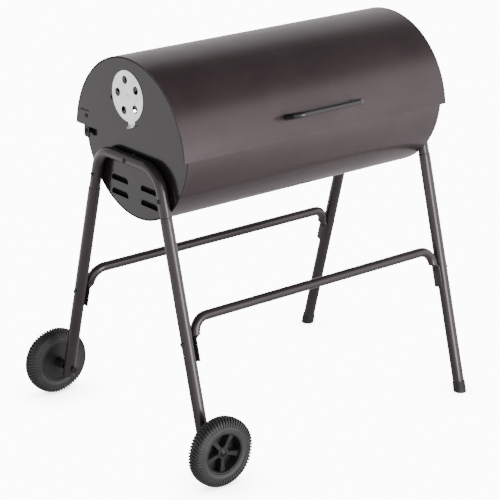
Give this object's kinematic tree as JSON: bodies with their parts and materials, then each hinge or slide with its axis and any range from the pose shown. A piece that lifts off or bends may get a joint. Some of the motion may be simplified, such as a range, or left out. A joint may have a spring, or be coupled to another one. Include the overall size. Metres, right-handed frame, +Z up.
{
  "type": "barrel charcoal grill",
  "caption": "Half-round charcoal grill with a hinged half-round lid, an end damper, louvred bowl ends, splayed tube legs with long braces, and wheels under one end.",
  "frame": {"origin": "on the floor, under the middle of the bounding box", "axes": "+Z up; +X along the barrel towards the end with plain feet, so the wheels and the damper are at -X; -Y is the front, where the handle is"},
  "size_m": [0.9002, 0.716, 0.9345],
  "materials": {
    "barrel_paint": "dark bronze-black semi-gloss powder coat",
    "end_paint": "dark grey gloss paint on flat pressed sheet",
    "leg_paint": "dark grey semi-gloss powder coat on tube",
    "handle_paint": "black gloss enamel on rod",
    "zinc_plate": "bright zinc plated sheet",
    "dark_steel": "dark plated steel fasteners",
    "bright_wire": "bright plated steel wire",
    "black_grate": "black heat-proof enamel, matt",
    "tyre_black": "black moulded tyre, matt",
    "hub_black": "black moulded plastic, satin",
    "cap_black": "black rubbery foot cap, matt"
  },
  "bodies": {
    "bowl_and_legs": {"bowl_shell": "barrel_paint", "bowl_end_left": "end_paint", "bowl_end_right": "end_paint", "yoke_left": "leg_paint", "yoke_right": "leg_paint", "yoke_bolt_top_left": "dark_steel", "yoke_bolt_top_right": "dark_steel", "yoke_bolt_front_left": "dark_steel", "yoke_bolt_front_right": "dark_steel", "yoke_bolt_rear_left": "dark_steel", "yoke_bolt_rear_right": "dark_steel", "pivot_bolt_left": "dark_steel", "pivot_bolt_right": "dark_steel", "pivot_spacer_left": "dark_steel", "pivot_spacer_right": "dark_steel", "cooking_grid_left": "bright_wire", "cooking_grid_right": "bright_wire", "leg_front_left": "leg_paint", "leg_front_right": "leg_paint", "leg_rear_left": "leg_paint", "leg_rear_right": "leg_paint", "brace_bolt_front_left": "dark_steel", "brace_bolt_front_right": "dark_steel", "brace_bolt_rear_left": "dark_steel", "brace_bolt_rear_right": "dark_steel", "brace_front": "leg_paint", "brace_rear": "leg_paint", "foot_cap_front": "cap_black", "foot_cap_rear": "cap_black", "axle_bolt_front": "dark_steel", "axle_bolt_rear": "dark_steel", "grid_rail_front": "black_grate", "grid_rail_rear": "black_grate", "charcoal_grate": "black_grate"},
    "lid": {"lid_shell": "barrel_paint", "lid_end_left": "end_paint", "lid_end_right": "end_paint", "handle": "handle_paint", "handle_screw_left": "dark_steel", "handle_screw_right": "dark_steel", "hinge_strap_left": "dark_steel", "hinge_strap_right": "dark_steel", "strap_bolt_left": "dark_steel", "strap_bolt_right": "dark_steel", "damper_rivet": "zinc_plate", "damper_stop": "dark_steel"},
    "damper": {"damper_disc": "zinc_plate"},
    "wheel_front": {"tyre_front": "tyre_black", "rim_front": "hub_black"},
    "wheel_rear": {"tyre_rear": "tyre_black", "rim_rear": "hub_black"}
  },
  "joints": [
    {"name": "lid_hinge", "type": "hinge", "parent": "bowl_and_legs", "child": "lid", "pos_m": [0.0326, 0.1783, 0.7217], "axis": [-1, 0, 0], "range_deg": [0, 105]},
    {"name": "damper_turn", "type": "hinge", "parent": "lid", "child": "damper", "pos_m": [-0.3644, 0, 0.845], "axis": [1, 0, 0], "range_deg": [-250, 70]},
    {"name": "wheel_front_spin", "type": "hinge", "parent": "bowl_and_legs", "child": "wheel_front", "pos_m": [-0.3661, -0.339, 0.084], "axis": [0, 1, 0], "continuous": true},
    {"name": "wheel_rear_spin", "type": "hinge", "parent": "bowl_and_legs", "child": "wheel_rear", "pos_m": [-0.3661, 0.339, 0.084], "axis": [0, 1, 0], "continuous": true}
  ]
}
